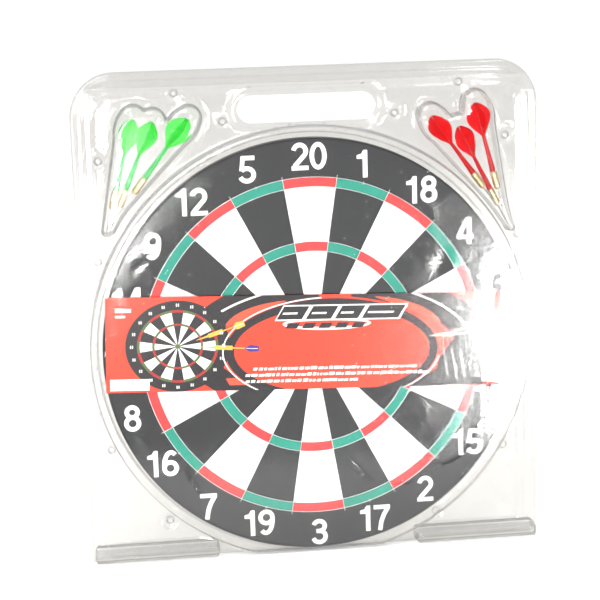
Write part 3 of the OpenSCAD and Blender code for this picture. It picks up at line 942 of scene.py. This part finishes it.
def title_blocks(inks):
    """Slanted blocks and a lens shape in place of the printed title."""
    for k, (u0, u1) in enumerate(((-42, -16), (-12, 14), (18, 42), (46, 84))):
        inks["white"].bar(u0 - 1.8, 22.5, u1 + 1.8, 39, slant=9)
        inks["black_top"].bar(u0, 24, u1, 37.5, slant=8)
        inks["white_top"].bar(u0 + 6, 29.2, u1 - 5, 31.2, slant=1)
    inks["white"].band((10, 19), (44, 5), 0, 360, 3.4, 3.4, n=50)
    for k in range(5):
        inks["black_top"].bar(-33 + 17 * k, 14.4, -21 + 17 * k, 20, slant=3.4)


def small_print(inks):
    """Rows of short dashes where the card has small lettering."""
    rng = random.Random(11)
    for v, u, end in ((-29, -66, 104), (-35.5, -74, 112), (-42, -74, 44)):
        while u < end:
            wide = rng.uniform(2.0, 6.5)
            inks["white_top"].bar(u, v, u + wide, v + rng.uniform(2.4, 3.4), slant=0.8)
            u += wide + rng.uniform(0.7, 1.8)


def dart_outline(inks):
    """A plain dart drawn in outline in a dark field, at the card's right."""
    inks["black"].shape([(122, -49), (128, -20), (144, 4), (166, 10), (176, 2), (176, -49)])
    body = [(118, 4), (140, 7), (146, 9.5), (170, 12.5), (182, 18), (192, 34), (200, 31),
            (192, 14), (206, 4), (198, 0), (184, 7.5), (170, 8.5), (146, 5.5), (140, 4.5)]
    inks["black_top"].shape(body[:5] + body[9:])
    inks["black_top"].shape([(182, 18), (192, 34), (200, 31), (192, 14), (184, 7.5)])
    for a, b in zip(body, body[1:] + body[:1]):
        inks["white_top"].stroke(a, b, 1.2)
    for k, s in enumerate((0, 9, 18)):
        inks["white"].stroke((132 + s, -8 - 2 * k), (138 + s, -40), 0.8)


def card_print(mats):
    """All the inks, drawn one over the other."""
    layers = ("black", "orange", "white", "dull_red", "olive", "black_top", "yellow", "violet",
              "white_top")
    inks = {name: Print(1 + k * 0.8) for k, name in enumerate(layers)}
    swooshes(inks).piece("ring", mats["black"])
    red_field = Print(2.2)
    red_field.disc((16, -9), (99, 43.5), 96)
    red_field.piece("red_field", mats["red"])
    small_board(inks, (-143, -2), (42, 38.5))
    little_dart(inks, (-124, 4), (-75, 21), "yellow", "yellow")
    little_dart(inks, (-120, -3), (-60, -6), "yellow", "violet")
    title_blocks(inks)
    small_print(inks)
    dart_outline(inks)
    inks["dull_red"].bar(162, 26, 208, 35)
    inks["white_top"].bar(-206, 34, -190, 38)
    inks["white_top"].bar(-206, 28.5, -196, 31)
    for name, ink in inks.items():
        ink.piece("ink_" + name, mats[name.replace("_top", "")])


def sticker_print(mat):
    """Meaningless bars on the code sticker and rules on both stickers."""
    ink = Print(0)
    ink.y = box_mm("code_sticker")[0].y - 0.02
    rng = random.Random(4)
    u = 180.0
    while u < 205:
        wide = rng.choice((0.5, 0.8, 1.3, 1.9))
        ink.bar(u, -32, u + wide, -15)
        u += wide + rng.choice((0.5, 0.9, 1.4))
    ink.piece("bars", mat, "sticker")
    rules = Print(0)
    rules.y = ink.y
    for v, u0, u1 in ((-8, 186, 203), (-11, 182, 205), (-36.5, 179, 206), (-40, 179, 200)):
        while u0 < u1:
            wide = rng.uniform(1.2, 3.2)
            rules.bar(u0, v, u0 + wide, v + 1.3)
            u0 += wide + 0.8
    rules.piece("rules", mat, "sticker")


# ---------- everything together ----------

RED = srgb(238, 52, 54)
GREEN = srgb(8, 148, 128)
WHITE = srgb(252, 252, 252)
BLACK = srgb(25, 27, 32)
CARD_RED = srgb(250, 70, 44)

clear_front = clear_sheet("clear_front", (0.945, 0.942, 0.933), 0.012)
clear_rear = clear_sheet("clear_rear", (0.915, 0.91, 0.898), 0.03)
front_shell(clear_front)
rear_shell(clear_rear)

edge_band(solid("band_vinyl", srgb(40, 41, 45), 0.35, grain=500, bump=0.25))

card_inks = {
    "red": solid("card_red", CARD_RED, 0.3, vary=0.03, bump=0.05),
    "black": solid("ink_black", srgb(44, 42, 46), 0.3, vary=0.1, bump=0.05),
    "white": solid("ink_white", srgb(250, 248, 247), 0.35, vary=0.02, bump=0.05),
    "orange": solid("ink_orange", srgb(246, 92, 66), 0.3, vary=0.05, bump=0.05),
    "dull_red": solid("ink_dull_red", srgb(176, 48, 44), 0.3, vary=0.1, bump=0.05),
    "olive": solid("ink_olive", srgb(92, 112, 66), 0.3, vary=0.12, bump=0.05),
    "yellow": solid("ink_yellow", srgb(248, 190, 84), 0.3, vary=0.1, bump=0.05),
    "violet": solid("ink_violet", srgb(74, 52, 150), 0.3, vary=0.15, bump=0.05),
}
card_print(card_inks)
sticker_print(solid("sticker_ink", srgb(60, 60, 66), 0.6, vary=0.15))

NODE_LOOKS = {
    "label_card": card_inks["red"],
    "price_sticker": solid("sticker_paper", srgb(250, 250, 250), 0.6, vary=0.02, bump=0.2),
    "board_core": wound_paper("wound_paper"),
    "face_sheet": solid("face_black", BLACK, 0.42, vary=0.12, grain=1400, bump=0.25),
    "white_beds": solid("face_white", WHITE, 0.5, vary=0.02, grain=1400, bump=0.2),
    "red_beds": solid("face_red", RED, 0.45, vary=0.06, grain=1400, bump=0.2),
    "green_beds": solid("face_green", GREEN, 0.45, vary=0.08, grain=1400, bump=0.2),
    "ring_wires": metal("bright_wire", (0.96, 0.97, 0.98), 0.4, stain=0.15),
    "hanger_wire": solid("black_coat", srgb(38, 38, 41), 0.4, vary=0.2, bump=0.3),
}
NODE_LOOKS["code_sticker"] = NODE_LOOKS["price_sticker"]
NODE_LOOKS["numbers"] = NODE_LOOKS["white_beds"]
NODE_LOOKS["radial_wires"] = NODE_LOOKS["ring_wires"]
NODE_LOOKS["wire_staples"] = metal("staple_wire", (0.95, 0.95, 0.95), 0.35, stain=0.1)
NODE_LOOKS["hanger_eyelets"] = NODE_LOOKS["hanger_wire"]

steel = metal("point_steel", (0.62, 0.62, 0.64), 0.25, stain=0.3)
brass = metal("turned_brass", (0.88, 0.75, 0.46), 0.34, stain=0.2)
DART_LOOKS = {
    "green": (moulded("green_stem", srgb(84, 206, 118), srgb(140, 250, 170), 0.16),
              moulded("green_flight", srgb(66, 234, 84), srgb(140, 255, 140), 0.3)),
    "red": (moulded("red_stem", srgb(200, 30, 38), srgb(255, 70, 70), 0.1),
            moulded("red_flight", srgb(236, 20, 30), srgb(255, 60, 60), 0.2)),
}
for name in DARTS:
    stem_look, flight_look = DART_LOOKS[name.split("_")[0]]
    NODE_LOOKS[name + "_point"] = steel
    NODE_LOOKS[name + "_barrel"] = brass
    NODE_LOOKS[name + "_stem"] = stem_look
    flight(name, flight_look)

for node, look in NODE_LOOKS.items():
    cad = frame["nodes"][node]
    cad.data.materials.clear()
    cad.data.materials.append(look)


# ---------- stage, light and camera ----------

def stage_floor():
    """Pale floor under and behind the pack."""
    mat, tree, out = material("pale_floor")
    tone = ramp(tree, noise_at(tree, place(tree), 6), [(0.3, (0.97, 0.97, 0.97)),
                                                       (0.7, (0.99, 0.99, 0.99))])
    shader = add(tree, "ShaderNodeBsdfPrincipled", {
        "Base Color": tone, "Roughness": 0.9, "Emission Color": (1, 1, 1, 1),
        "Emission Strength": 0.2})
    tree.links.new(shader.outputs[0], out.inputs["Surface"])
    near, far, wide = -0.36, 6, 6
    verts = [(-wide, near, 0), (wide, near, 0), (wide, far, 0), (-wide, far, 0)]
    mesh = bpy.data.meshes.new("floor")
    mesh.from_pydata([Vector(v) - Vector((0, 0, 0.0004)) for v in verts], [], [(0, 1, 2, 3)])
    mesh.materials.append(mat)
    floor = bpy.data.objects.new("floor", mesh)
    bpy.context.scene.collection.objects.link(floor)


def soft_world():
    """White to the eye; in reflections dark in front, but brighter low and to the right."""
    world = bpy.data.worlds.new("studio")
    bpy.context.scene.world = world
    world.use_nodes = True
    tree = world.node_tree
    tree.nodes.clear()
    out = add(tree, "ShaderNodeOutputWorld")
    way = add(tree, "ShaderNodeTexCoord").outputs["Generated"]
    slope = add(tree, "ShaderNodeVectorMath", {0: way, 1: (0.62, 0.25, -0.75)},
                operation="DOT_PRODUCT").outputs["Value"]
    glow = add(tree, "ShaderNodeMapRange", {"Value": slope, "From Min": 0.03,
                                            "From Max": 0.09, "To Min": 0.0, "To Max": 1.0},
               interpolation_type="SMOOTHSTEP").outputs["Result"]
    ahead = add(tree, "ShaderNodeVectorMath", {0: way, 1: (0.02, -0.97, -0.2)},
                operation="DOT_PRODUCT").outputs["Value"]
    aside = add(tree, "ShaderNodeMapRange", {"Value": ahead, "From Min": 0.8, "From Max": 0.93,
                                             "To Min": 1.0, "To Max": 0.0},
                interpolation_type="SMOOTHSTEP").outputs["Result"]
    low_glow = add(tree, "ShaderNodeMath", {0: glow, 1: 0.4}, operation="MULTIPLY").outputs[0]
    light = add(tree, "ShaderNodeMath", {0: low_glow, 1: aside}, operation="MAXIMUM").outputs[0]
    tone = ramp(tree, light, [(0, (0.06, 0.06, 0.07)), (1, (0.82, 0.82, 0.84))])
    path = add(tree, "ShaderNodeLightPath")
    seen = add(tree, "ShaderNodeBackground", {"Color": (1, 1, 1, 1), "Strength": 1.03})
    soft = add(tree, "ShaderNodeBackground", {"Color": (1, 1, 1, 1), "Strength": 0.98})
    gloss = add(tree, "ShaderNodeBackground", {"Color": tone, "Strength": 1.0})
    first = add(tree, "ShaderNodeMixShader", {0: path.outputs["Is Glossy Ray"],
                                              1: soft.outputs[0], 2: gloss.outputs[0]})
    second = add(tree, "ShaderNodeMixShader", {0: path.outputs["Is Camera Ray"],
                                               1: first.outputs[0], 2: seen.outputs[0]})
    tree.links.new(second.outputs[0], out.inputs["Surface"])


def lamp(name, at, target, size, power, shown=True):
    data = bpy.data.lights.new(name, "AREA")
    data.shape = "RECTANGLE"
    data.size, data.size_y = size
    data.energy = power
    light = bpy.data.objects.new(name, data)
    light.location = at
    light.rotation_euler = (Vector(target) - Vector(at)).to_track_quat("-Z", "Y").to_euler()
    light.visible_camera = False
    light.visible_glossy = shown
    bpy.context.scene.collection.objects.link(light)


def camera():
    data = bpy.data.cameras.new("camera")
    data.lens = 103.1
    data.sensor_width = 36
    data.clip_end = 50
    cam = bpy.data.objects.new("camera", data)
    at, aim = Vector((-0.2088, -1.7193, 0.6332)), Vector((-0.0119, 0, 0.2684))
    level = (aim - at).to_track_quat("-Z", "Y").to_matrix()
    roll = Matrix.Rotation(math.radians(-1.61), 3, "Z")
    cam.matrix_world = Matrix.Translation(at) @ (level @ roll).to_4x4()
    bpy.context.scene.collection.objects.link(cam)
    bpy.context.scene.camera = cam


stage_floor()
soft_world()
middle = (0, 0, 0.25)
lamp("key", (-1.3, -2.2, 2.4), middle, (1.8, 1.2), 46)
lamp("fill", (1.9, -1.6, 1.2), middle, (1.2, 1.6), 16, shown=False)
lamp("back", (0.4, 2.2, 1.6), middle, (2.2, 1.4), 22, shown=False)
lamp("glint_left", (-0.55, -2.4, 0.12), middle, (0.4, 0.3), 42)
lamp("glint_right", (0.95, -2.2, -0.35), middle, (0.34, 0.5), 36)
camera()
bpy.context.scene.view_settings.view_transform = "Standard"
bpy.context.scene.cycles.transparent_max_bounces = 32
